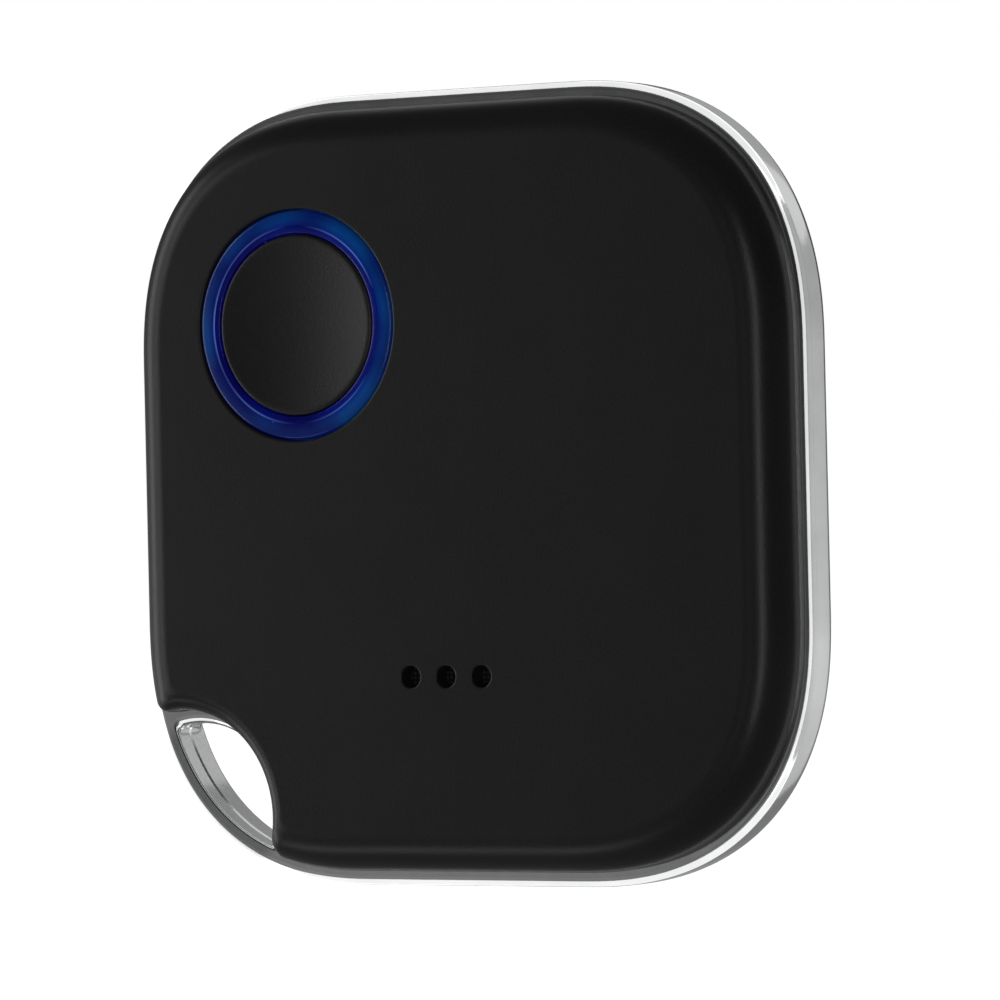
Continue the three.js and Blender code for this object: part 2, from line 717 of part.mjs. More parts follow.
// The two leads run through the notch in the seat's rim to pads on the board's front face.
function sounderWires() {
  const wireRadius = 0.17;
  const padY = boardFrontY - wireRadius - solderGap;
  const routes = [
    { look: redSleeve, points: [[-1.8, -4.42, -7.7], [-4.6, -4.42, -7.8], [-7, -4.2, -8], [-8.9, padY, -8]] },
    {
      look: blackSleeve,
      points: [[-5, -4.6, -9.6], [-6.2, -4.52, -9.7], [-7.5, -4, -9.9], [-8.9, padY, -10]],
    },
  ];
  const section = new THREE.Shape().absarc(0, 0, wireRadius, 0, 2 * Math.PI);
  return routes.map(({ look, points }, i) => {
    const path = new THREE.CatmullRomCurve3(points.map((point) => new THREE.Vector3(...point)));
    const options = { extrudePath: path, steps: 14, curveSegments: 2, bevelEnabled: false };
    return part(`piezo_wire_${i + 1}`, solidOf(new THREE.ExtrudeGeometry(section, options)), look);
  });
}

// ---- Screws ----

function screws() {
  const headFrontY = boardRearY + solderGap;
  const headRearY = headFrontY + screw.headHeight;
  const profile = [
    [0, screw.tipY],
    [screw.shankRadius - 0.3, screw.tipY],
    [screw.shankRadius, screw.tipY + 0.4],
    [screw.shankRadius, headFrontY],
    [screw.headRadius, headFrontY],
    [screw.headRadius, headRearY - 0.15],
    [screw.headRadius - 0.15, headRearY],
    [0, headRearY],
  ];
  return screwPlaces.map((place, i) => {
    const slotRearY = headRearY + overlap;
    const slotFrontY = headRearY - 0.25;
    const cross = union([
      blockAt(place.x, place.z, 1.4, 0.3, slotRearY, slotFrontY),
      blockAt(place.x, place.z, 0.3, 1.4, slotRearY, slotFrontY),
    ]);
    return part(`screw_${i + 1}`, turned(place, profile, 16).subtract(cross), tinned);
  });
}

// ---- Assembly ----

const tag = new THREE.Group();
tag.add(
  frontCover(),
  midFrame(),
  rearCover(),
  buttonCap(),
  lightRing(),
  ...switchParts(),
  ...leds(),
  circuitBoard(),
  ...boardComponents(),
  ...coinCell(),
  batteryPad(),
  positiveContact(),
  negativeContact(),
  ...sounder(),
  ...sounderWires(),
  ...screws(),
);

export default tag;
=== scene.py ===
"""Looks of the tracker tag: smooth covers, metal frame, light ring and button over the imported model.

Lengths in the shape code are millimetres in the row frame. Outlines are drawn in the X-Z plane,
anticlockwise as seen from the front, which faces -Y.
"""

import math

import bmesh
import bpy
import numpy as np
from mathutils import Matrix, Vector
from mathutils.geometry import delaunay_2d_cdt


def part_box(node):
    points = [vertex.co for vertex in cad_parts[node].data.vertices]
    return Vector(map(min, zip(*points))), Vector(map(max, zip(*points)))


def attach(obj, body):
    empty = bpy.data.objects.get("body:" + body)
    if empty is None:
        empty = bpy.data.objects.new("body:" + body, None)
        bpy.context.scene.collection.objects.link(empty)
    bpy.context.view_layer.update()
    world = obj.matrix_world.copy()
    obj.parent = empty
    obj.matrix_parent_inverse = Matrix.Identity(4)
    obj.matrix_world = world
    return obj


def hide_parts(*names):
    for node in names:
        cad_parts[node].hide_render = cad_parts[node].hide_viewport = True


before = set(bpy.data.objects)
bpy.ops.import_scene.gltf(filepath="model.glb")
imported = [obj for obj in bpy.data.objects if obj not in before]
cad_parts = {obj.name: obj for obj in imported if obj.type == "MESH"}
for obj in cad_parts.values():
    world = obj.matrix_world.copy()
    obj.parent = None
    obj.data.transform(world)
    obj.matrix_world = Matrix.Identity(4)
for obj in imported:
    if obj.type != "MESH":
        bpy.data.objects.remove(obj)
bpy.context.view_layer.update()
MM = 0.001


def span(node):
    """Lowest and highest corner of a CAD node, in millimetres."""
    low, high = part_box(node)
    return np.array(low) / MM, np.array(high) / MM


def centre_of(node):
    low, high = span(node)
    return (low + high) / 2


# ---- Sizes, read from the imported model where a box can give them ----

FRAME_LOW, FRAME_HIGH = span("mid_frame")
HALF_WIDTH, HALF_HEIGHT = FRAME_HIGH[0], FRAME_HIGH[2]
FRAME_FRONT_Y, FRAME_REAR_Y = FRAME_LOW[1], FRAME_HIGH[1]
FRONT_Y = span("front_cover")[0][1]
REAR_Y = span("rear_cover")[1][1]

CORNER_REACH = 12.25
CORNER_POWER = 2.36
BITE_CENTRE = np.array([-15.15, -15.05])
BITE_RADIUS = 4.3
LIP_RADIUS = 0.6
LOOP_THICKNESS = 0.85
LOOP_CORNER = 0.35
FRAME_WALL = 1.4
FRONT_FILLET = 0.4
REAR_FILLET = 0.9
REAR_FILLET_REACH = 0.7
BAND_EDGE = 0.1
RIDGE = 0.05
RIDGE_HALF_WIDTH = 0.06
FRONT_BASE_INSET = 0.68
REAR_BASE_INSET = 1.18
BASE_WALL = 0.2
COVER_BITE_FILLET = 0.88
PRY_HALF_WIDTH = 3
PRY_DEPTH = 0.5
FRONT_INNER_Y = FRONT_Y + 0.85
REAR_INNER_Y = REAR_Y - 0.75
OUTSIDE_WALL_DEPTH = 1.42
SKIN_MARGIN = 0.02
RING_HOLE_RADIUS = 5.35
RING_HOLE_EDGE = 0.1
SOUND_HOLE_RADIUS = 0.5
SOUND_HOLE_EDGE = 0.08
SOUND_HOLE_PITCH = 1.9

CORNER_STEPS = 48
BITE_STEPS = 40
LIP_STEPS = 8
EDGE_STEPS = 20
SUPPORT = 0.03

# Corners as (direction faced at the start, direction faced at the end), from the lower left.
CORNERS = [
    ((-1, 0), (0, -1)),
    ((0, -1), (1, 0)),
    ((1, 0), (0, 1)),
    ((0, 1), (-1, 0)),
]


# ---- Outlines ----


def blend(corner, angles, power):
    start, end = np.array(corner, float)
    cosines = np.clip(np.cos(angles), 0, 1) ** power
    sines = np.clip(np.sin(angles), 0, 1) ** power
    return np.outer(cosines, start) + np.outer(sines, end)


def rim_normals(corner, fractions):
    normals = blend(corner, fractions * math.pi / 2, 2 - 2 / CORNER_POWER)
    return normals / np.linalg.norm(normals, axis=1)[:, None]


def rim_points(corner, fractions, inset):
    """Points of the rounded square, at fractions of the way round a corner, moved inwards."""
    fractions = np.atleast_1d(fractions)
    side = np.sum(corner, axis=0)
    centre = side * np.array([HALF_WIDTH - CORNER_REACH, HALF_HEIGHT - CORNER_REACH])
    reach = blend(corner, fractions * math.pi / 2, 2 / CORNER_POWER) * CORNER_REACH
    return centre + reach - inset * rim_normals(corner, fractions)


def rim_outline(inset):
    fractions = np.linspace(0, 1, CORNER_STEPS + 1)
    return np.vstack([rim_points(corner, fractions, inset) for corner in CORNERS])


def bite_crossing(inset, radius, low, high):
    """Where the rounded square, moved inwards, meets a circle round the bite's centre.

    The place is given as a fraction of the lower left corner.
    """

    def is_outside(fraction):
        point = rim_points(CORNERS[0], fraction, inset)[0]
        return np.linalg.norm(point - BITE_CENTRE) > radius

    low_is_outside = is_outside(low)
    for _ in range(40):
        middle = (low + high) / 2
        if is_outside(middle) == low_is_outside:
            low = middle
        else:
            high = middle
    return (low + high) / 2


def bite_crossings(inset, radius):
    """Both crossings, with the point and the direction that the rounded square faces at each."""
    ends = [bite_crossing(inset, radius, 0, 0.5), bite_crossing(inset, radius, 0.5, 1)]
    points = [rim_points(CORNERS[0], end, inset)[0] for end in ends]
    facing = [turn_angle(rim_normals(CORNERS[0], np.array([end]))[0]) for end in ends]
    return ends, points, facing


def arc(centre, radius, start, end, steps):
    angles = np.linspace(start, end, steps + 1)
    return centre + radius * np.column_stack([np.cos(angles), np.sin(angles)])


def turn_angle(vector):
    return math.atan2(vector[1], vector[0]) % (2 * math.pi)


def tag_outline(inset, bite_inset=None):
    """The rounded square with the bite taken out, which may have an inset of its own."""
    bite_radius = BITE_RADIUS + (inset if bite_inset is None else bite_inset)
    ends, middles, rim_angles = bite_crossings(inset + LIP_RADIUS, bite_radius + LIP_RADIUS)
    bite_angles = [turn_angle(BITE_CENTRE - middle) for middle in middles]
    full = np.linspace(0, 1, CORNER_STEPS + 1)
    part = CORNER_STEPS // 3 + 1
    left_lip = arc(middles[0], LIP_RADIUS, rim_angles[0], bite_angles[0], LIP_STEPS)
    lower_lip = arc(middles[1], LIP_RADIUS, bite_angles[1], rim_angles[1], LIP_STEPS)
    bite = arc(BITE_CENTRE, bite_radius, bite_angles[0] - math.pi, bite_angles[1] - math.pi, BITE_STEPS)
    pry_ends = [(side * PRY_HALF_WIDTH, inset - HALF_HEIGHT) for side in (-1, 1)]
    return np.vstack([
        rim_points(CORNERS[0], np.linspace(ends[1], 1, part), inset),
        pry_ends,
        *[rim_points(corner, full, inset) for corner in CORNERS[1:]],
        rim_points(CORNERS[0], np.linspace(0, ends[0], part), inset),
        left_lip[1:-1],
        bite,
        lower_lip[1:-1],
    ])


def loop_outline(band_inset, bore_radius):
    """The loop's opening: the band's inner wall, the bite's arc, and a round corner at each end."""
    ends, middles, rim_angles = bite_crossings(band_inset + LOOP_CORNER, bore_radius - LOOP_CORNER)
    bore_angles = [turn_angle(middle - BITE_CENTRE) for middle in middles]
    lower_corner = arc(middles[1], LOOP_CORNER, rim_angles[1], bore_angles[1], LIP_STEPS)
    left_corner = arc(middles[0], LOOP_CORNER, bore_angles[0], rim_angles[0], LIP_STEPS)
    bore = arc(BITE_CENTRE, bore_radius, bore_angles[1] - 2 * math.pi, bore_angles[0], BITE_STEPS)
    return np.vstack([
        rim_points(CORNERS[0], np.linspace(ends[0], ends[1], CORNER_STEPS), band_inset),
        lower_corner[1:-1],
        bore,
        left_corner[1:-1],
    ])


def circle(centre, radius, segments):
    angles = np.arange(segments) * 2 * math.pi / segments
    return centre + radius * np.column_stack([np.cos(angles), np.sin(angles)])


# ---- Mesh code ----


def is_inside(place, points, edges):
    """Whether an odd number of edges lie straight to the right of a place."""
    start, end = points[np.array(edges)].transpose(1, 0, 2)
    spans_place = (start[:, 1] > place[1]) != (end[:, 1] > place[1])
    start, end = start[spans_place], end[spans_place]
    share = (place[1] - start[:, 1]) / (end[:, 1] - start[:, 1])
    crossing = start[:, 0] + share * (end[:, 0] - start[:, 0])
    return np.count_nonzero(crossing > place[0]) % 2 == 1


class Shape:
    """Vertices and faces that grow piece by piece."""

    def __init__(self):
        self.points = []
        self.faces = []

    def add_ring(self, outline, y):
        start = len(self.points)
        self.points += [(x, y, z) for x, z in outline]
        return list(range(start, len(self.points)))

    def bridge(self, rear, front):
        """Quads between two rings of equal length, the first nearer the rear."""
        for i in range(len(rear)):
            j = (i + 1) % len(rear)
            self.faces.append((rear[i], rear[j], front[j], front[i]))

    def fill(self, rings, faces_front):
        """A flat face inside the first ring and outside the others."""
        indices = [i for ring in rings for i in ring]
        points = np.array([self.points[i] for i in indices])[:, [0, 2]]
        edges = []
        for ring in rings:
            start = len(edges)
            edges += [(start + i, start + (i + 1) % len(ring)) for i in range(len(ring))]
        flat = [Vector(point) for point in points]
        _, _, triangles, sources, _, _ = delaunay_2d_cdt(flat, edges, [], 0, 1e-6)
        for triangle in triangles:
            corners = [sources[i][0] for i in triangle]
            if is_inside(points[corners].mean(axis=0), points, edges):
                a, b, c = points[corners]
                is_anticlockwise = (b - a)[0] * (c - a)[1] - (b - a)[1] * (c - a)[0] > 0
                order = corners if is_anticlockwise == faces_front else corners[::-1]
                self.faces.append(tuple(indices[i] for i in order))

    def add_loft(self, rings):
        """Joins (outline, y) rings, given from rear to front, and returns their indices."""
        made = [self.add_ring(outline, y) for outline, y in rings]
        for rear, front in zip(made, made[1:]):
            self.bridge(rear, front)
        return made

    def drop_faces(self, is_unwanted):
        """Takes away the faces whose middles pass is_unwanted(points), a mask."""
        points = np.array(self.points)
        mask = is_unwanted(np.array([points[list(face)].mean(axis=0) for face in self.faces]))
        self.faces = [face for face, unwanted in zip(self.faces, mask) if not unwanted]

    def add_faces_of(self, node, keep):
        """Copies the faces of a CAD node whose middles pass keep(points), a mask."""
        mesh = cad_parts[node].data
        points = np.array([v.co for v in mesh.vertices]) / MM
        polygons = [tuple(p.vertices) for p in mesh.polygons]
        middles = np.array([points[list(p)].mean(axis=0) for p in polygons])
        start = len(self.points)
        self.points += [tuple(p) for p in points]
        mask = keep(middles)
        self.faces += [tuple(start + i for i in p) for p, kept in zip(polygons, mask) if kept]

    def to_object(self, name):
        mesh = bpy.data.meshes.new(name)
        mesh.from_pydata([tuple(c * MM for c in p) for p in self.points], [], self.faces)
        made = bpy.data.objects.new(name, mesh)
        bpy.context.scene.collection.objects.link(made)
        return made


def finish_mesh(made, sharp_degrees=32):
    """Welds a mesh, drops loose points, and shades it smooth with its sharp edges kept."""
    mesh = bmesh.new()
    mesh.from_mesh(made.data)
    bmesh.ops.remove_doubles(mesh, verts=mesh.verts, dist=2e-7)
    loose = [v for v in mesh.verts if not v.link_faces]
    bmesh.ops.delete(mesh, geom=loose, context="VERTS")
    for face in mesh.faces:
        face.smooth = True
    for edge in mesh.edges:
        edge.smooth = edge.is_manifold and edge.calc_face_angle(0) < math.radians(sharp_degrees)
    mesh.to_mesh(made.data)
    mesh.free()
    return made


def place(made, body, slot, material, nodes=()):
    """Gives a finished piece its body and material, and hides the CAD nodes it stands for. Its slot is not
    used.
    """
    made.data.materials.clear()
    made.data.materials.append(material)
    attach(made, body)
    if nodes:
        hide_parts(*nodes)
    return made


def turned(name, centre, profile, segments=96, is_loop=False):
    """A piece turned about an axis along Y. The profile is (radius, y) from front to rear.

    It closes on itself, or its two ends are filled with flat discs.
    """
    shape = Shape()
    rings = [shape.add_ring(circle(centre, radius, segments), y) for radius, y in profile[::-1]]
    for rear, front in zip(rings, rings[1:]):
        shape.bridge(rear, front)
    if is_loop:
        shape.bridge(rings[-1], rings[0])
    else:
        shape.fill([rings[0]], faces_front=False)
        shape.fill([rings[-1]], faces_front=True)
    return finish_mesh(shape.to_object(name))


def quarter(steps):
    """Angles from 0 to a right angle."""
    return np.linspace(0, math.pi / 2, steps + 1)


def drawn_in(radius, depth):
    """How far a rounded edge has drawn in from its wall, so deep below the face it leads to."""
    return radius - math.sqrt(radius**2 - max(radius - depth, 0) ** 2)


def distance_inside(points):
    """How far inside the tag's outline (x, y, z) points lie. Places in the loop give less than 0."""
    outline = tag_outline(0)
    edges = [(i, (i + 1) % len(outline)) for i in range(len(outline))]
    ends = np.roll(outline, -1, axis=0)
    along = ends - outline
    lengths = np.maximum(np.sum(along * along, axis=1), 1e-12)
    nearest = []
    for point in points[:, [0, 2]]:
        share = np.clip(np.sum((point - outline) * along, axis=1) / lengths, 0, 1)
        gaps = outline + share[:, None] * along - point
        side = 1 if is_inside(point, outline, edges) else -1
        nearest.append(side * math.sqrt(np.min(np.sum(gaps * gaps, axis=1))))
    return np.array(nearest)


# ---- Covers ----


def cover_rings(base_y, face_y, base_inset, heights=()):
    """The outside of a cover, from its base to its face, with a ring at each height over its base.

    The bite's edge is rounded more tightly than the rest.
    """
    outwards = math.copysign(1, face_y - base_y)
    thickness = abs(face_y - base_y)
    radius = thickness - BASE_WALL
    rings = [(tag_outline(base_inset), base_y)]
    depths = [radius * (1 - math.sin(angle)) for angle in quarter(EDGE_STEPS)]
    depths += [thickness - height for height in heights]
    for depth in sorted(depths, reverse=True):
        inset = base_inset + drawn_in(radius, depth)
        bite_inset = base_inset + drawn_in(COVER_BITE_FILLET, depth)
        rings.append((tag_outline(inset, bite_inset), face_y - outwards * depth))
    support = tag_outline(base_inset + radius + SUPPORT, base_inset + COVER_BITE_FILLET + SUPPORT)
    return rings + [(support, face_y)]


def round_hole(shape, centre, radius, edge, segments):
    """A hole's rounded edge and wall through the front cover. Returns its mouth."""
    profile = [(radius + edge + SUPPORT, FRONT_Y)]
    profile += [
        (radius + edge * (1 - math.sin(a)), FRONT_Y + edge * (1 - math.cos(a)))
        for a in quarter(5)
    ]
    profile.append((radius, FRONT_INNER_Y))
    rings = [shape.add_ring(circle(centre, r, segments), y) for r, y in profile]
    for front, rear in zip(rings, rings[1:]):
        shape.bridge(front, rear)
    return rings[0]


def sound_hole_centres():
    """Three holes in a row over the middle of the sounder."""
    x, _, z = centre_of("piezo_plate")
    return [np.array([x + i * SOUND_HOLE_PITCH, z]) for i in (-1, 0, 1)]


def front_cover(material):
    """The front shell with its holes. Its posts, seat and rib come from the model."""
    shape = Shape()
    rings = shape.add_loft(cover_rings(FRAME_FRONT_Y, FRONT_Y, FRONT_BASE_INSET))
    button = centre_of("button_cap")[[0, 2]]
    mouths = [round_hole(shape, button, RING_HOLE_RADIUS, RING_HOLE_EDGE, 128)]
    for centre in sound_hole_centres():
        mouths.append(round_hole(shape, centre, SOUND_HOLE_RADIUS, SOUND_HOLE_EDGE, 32))
    shape.fill([rings[-1], *mouths], faces_front=True)

    def is_inside_face(middles):
        depth = distance_inside(middles)
        is_outside_wall = (middles[:, 1] < FRAME_FRONT_Y - 0.01) & (depth < OUTSIDE_WALL_DEPTH)
        is_front_skin = middles[:, 1] < FRONT_INNER_Y - SKIN_MARGIN
        return ~(is_outside_wall | is_front_skin)

    shape.add_faces_of("front_cover", is_inside_face)
    made = finish_mesh(shape.to_object("front_cover_shell"))
    return place(made, "housing", "cover_plastic", material, ["front_cover"])


def rear_cover(material):
    """The rear shell, open at its pry notch, whose own faces come from the model."""
    shape = Shape()
    outside = cover_rings(FRAME_REAR_Y, REAR_Y, REAR_BASE_INSET, [PRY_DEPTH])
    rings = shape.add_loft(outside[::-1])

    def is_over_pry_notch(middles):
        is_at_notch = (abs(middles[:, 0]) < PRY_HALF_WIDTH) & (middles[:, 2] < 0)
        return is_at_notch & (middles[:, 1] < FRAME_REAR_Y + PRY_DEPTH)

    shape.drop_faces(is_over_pry_notch)
    shape.fill([rings[0]], faces_front=False)

    def is_inside_face(middles):
        depth = distance_inside(middles)
        is_outside_wall = (middles[:, 1] > FRAME_REAR_Y + 0.01) & (depth < OUTSIDE_WALL_DEPTH)
        is_rear_skin = middles[:, 1] > REAR_INNER_Y + SKIN_MARGIN
        return ~(is_outside_wall | is_rear_skin)

    shape.add_faces_of("rear_cover", is_inside_face)
    made = finish_mesh(shape.to_object("rear_cover_shell"))
    return place(made, "back", "cover_plastic", material, ["rear_cover"])


# ---- Metal frame with its loop ----


def frame_edge_rings():
    """The outside of the frame from rear to front, with a support ring on each flat."""
    rear = [
        (
            rim_outline(REAR_FILLET_REACH * (1 - math.cos(a))),
            FRAME_REAR_Y - REAR_FILLET * (1 - math.sin(a)),
        )
        for a in quarter(12)[::-1]
    ]
    front = [
        (rim_outline(FRONT_FILLET * (1 - math.cos(a))), FRAME_FRONT_Y + FRONT_FILLET * (1 - math.sin(a)))
        for a in quarter(8)
    ]
    rear_support = (rim_outline(REAR_FILLET_REACH + SUPPORT), FRAME_REAR_Y)
    front_support = (rim_outline(FRONT_FILLET + SUPPORT), FRAME_FRONT_Y)
    return [rear_support, *rear, *front, front_support]


def loop_opening_rings():
    """The wall of the loop's opening from front to rear, with a fine ridge half way along it."""
    ridge_y = FRAME_FRONT_Y + 0.95
    depths = [FRONT_FILLET * (1 - math.sin(a)) for a in quarter(8)[::-1]]
    depths += [BAND_EDGE, 0.03, 0.06]
    levels = [FRAME_FRONT_Y + depth for depth in depths]
    levels += [ridge_y - RIDGE_HALF_WIDTH, ridge_y, ridge_y + RIDGE_HALF_WIDTH]
    levels += [FRAME_REAR_Y - REAR_FILLET * (1 - math.sin(a)) for a in quarter(12)]
    rings = []
    for y in sorted(set(levels)):
        front_depth = y - FRAME_FRONT_Y
        rear_depth = FRAME_REAR_Y - y
        ridge = RIDGE * max(1 - abs(y - ridge_y) / RIDGE_HALF_WIDTH, 0)
        step = RIDGE if y > ridge_y else 0
        rounding = drawn_in(BAND_EDGE, front_depth) + drawn_in(BAND_EDGE, rear_depth)
        band_inset = LOOP_THICKNESS + step - ridge - rounding
        bore_radius = BITE_RADIUS + drawn_in(FRONT_FILLET, front_depth) + drawn_in(REAR_FILLET, rear_depth)
        rings.append((loop_outline(band_inset, bore_radius), y))
    front_support = loop_outline(LOOP_THICKNESS - BAND_EDGE - SUPPORT, BITE_RADIUS + FRONT_FILLET + SUPPORT)
    rear_inset = LOOP_THICKNESS + RIDGE - BAND_EDGE - SUPPORT
    rear_support = loop_outline(rear_inset, BITE_RADIUS + REAR_FILLET + SUPPORT)
    return [(front_support, FRAME_FRONT_Y), *rings, (rear_support, FRAME_REAR_Y)]


def metal_frame(material):
    """The frame's rim, bay and loop as one skin, and the four screw lugs inside it."""
    shape = Shape()
    outside = shape.add_loft(frame_edge_rings())
    bay = [shape.add_ring(tag_outline(FRAME_WALL), y) for y in (FRAME_FRONT_Y, FRAME_REAR_Y)]
    shape.bridge(*bay)
    opening = [shape.add_ring(outline, y) for outline, y in loop_opening_rings()]
    for front, rear in zip(opening, opening[1:]):
        shape.bridge(front, rear)
    shape.fill([outside[-1], bay[0], opening[0]], faces_front=True)
    shape.fill([outside[0], bay[1], opening[-1]], faces_front=False)
    made = finish_mesh(shape.to_object("metal_frame"), 28)
    lugs = Shape()
    lugs.add_faces_of("mid_frame", lambda middles: distance_inside(middles) > FRAME_WALL + 0.04)
    lugs_piece = finish_mesh(lugs.to_object("frame_lugs"))
    place(lugs_piece, "housing", "frame_chrome", material)
    return [place(made, "housing", "frame_chrome", material, ["mid_frame"]), lugs_piece]


# ---- Light ring and button ----


RING_INNER = 4.24
RING_OUTER = 5.27
RING_EDGE = 0.14
BUTTON_RADIUS = 4.19
BUTTON_EDGE = 0.16
BUTTON_DISH = 0.3
BUTTON_POCKET_RADIUS = 3.6
BUTTON_STEM_RADIUS = 1.7


def light_ring(material):
    """A flat moulding with a hair-fine groove near its inside and a round outer edge."""
    centre = centre_of("light_ring")[[0, 2]]
    low, high = span("light_ring")
    face_y, rear_y = low[1], high[1]
    flange_radius = (high[0] - low[0]) / 2
    flange_y = FRONT_INNER_Y + 0.02
    groove = RING_INNER + 0.3
    lip = 0.06
    profile = [(RING_INNER, face_y + 0.2)]
    profile += [
        (RING_INNER + lip * (1 - math.cos(a)), face_y + lip * (1 - math.sin(a))) for a in quarter(4)
    ]
    profile += [
        (groove - 0.04, face_y),
        (groove, face_y + 0.045),
        (groove + 0.04, face_y),
    ]
    profile += [
        (RING_OUTER - RING_EDGE * (1 - math.sin(a)), face_y + RING_EDGE * (1 - math.cos(a)))
        for a in quarter(6)
    ]
    profile += [
        (RING_OUTER, flange_y),
        (flange_radius, flange_y),
        (flange_radius, rear_y),
        (RING_INNER, rear_y),
    ]
    made = turned("light_ring_moulding", centre, profile, segments=160, is_loop=True)
    return place(made, "housing", "ring_blue", material, ["light_ring"])


def button_cap(material):
    """The cap with its dish. It is drawn a little wider than the model's, as its gap is hair-fine."""
    low, high = span("button_cap")
    centre = centre_of("button_cap")[[0, 2]]
    face_y, rear_y = low[1], high[1]
    flange_radius = (high[0] - low[0]) / 2
    flange_y = FRONT_Y + 1.23
    flange_rear_y = FRONT_Y + 1.55
    pocket_y = flange_y - 0.2
    dish_radius = BUTTON_RADIUS - BUTTON_EDGE
    profile = [(dish_radius * t, face_y + BUTTON_DISH * (1 - t * t)) for t in np.linspace(0.04, 1, 24)]
    profile += [
        (dish_radius + BUTTON_EDGE * math.sin(a), face_y + BUTTON_EDGE * (1 - math.cos(a)))
        for a in quarter(8)[1:]
    ]
    profile += [
        (BUTTON_RADIUS, flange_y),
        (flange_radius, flange_y),
        (flange_radius, flange_rear_y),
        (BUTTON_POCKET_RADIUS, flange_rear_y),
        (BUTTON_POCKET_RADIUS, pocket_y),
        (BUTTON_STEM_RADIUS, pocket_y),
        (BUTTON_STEM_RADIUS, rear_y),
    ]
    made = turned("button_dished_cap", centre, profile)
    return place(made, "button", "button_plastic", material, ["button_cap"])


# ---- Coin cell ----


CELL_RIM_RADIUS = 8.6
CELL_STAMPING = 0.03


def rounded_edge(radius, edge, y, depthwards):
    """Points of a round outer edge, from the face at y (inner end first) down to the wall."""
    return [
        (radius - edge * (1 - math.sin(a)), y + depthwards * edge * (1 - math.cos(a)))
        for a in quarter(5)
    ]


def battery_can(material):
    low, high = span("battery_can")
    lid_low, lid_high = span("battery_lid")
    radius = (high[0] - low[0]) / 2
    bore = radius - 0.25
    crimp = (lid_high[0] - lid_low[0]) / 2 + 0.3
    floor_y, shoulder_y = high[1] - 0.25, low[1] + 0.25
    profile = [(0.1, floor_y), (bore, floor_y), (bore, shoulder_y), (crimp, shoulder_y)]
    profile.append((crimp, low[1]))
    profile += rounded_edge(radius, 0.35, low[1], 1)
    profile += rounded_edge(radius, 0.25, high[1], -1)[::-1]
    stamped_y = high[1] - CELL_STAMPING
    profile += [(CELL_RIM_RADIUS, high[1]), (CELL_RIM_RADIUS - 0.1, stamped_y), (0.1, stamped_y)]
    made = turned("battery_steel_can", centre_of("battery_can")[[0, 2]], profile, segments=128)
    return place(made, "battery", "cell_steel", material, ["battery_can"])


def battery_lid(material):
    low, high = span("battery_lid")
    radius = (high[0] - low[0]) / 2
    profile = [(0.1, low[1])]
    profile += rounded_edge(radius, 0.3, low[1], 1)
    profile += [(radius, high[1]), (0.1, high[1])]
    made = turned("battery_steel_lid", centre_of("battery_lid")[[0, 2]], profile, segments=128)
    return place(made, "battery", "cell_steel", material, ["battery_lid"])


# ---- Materials ----


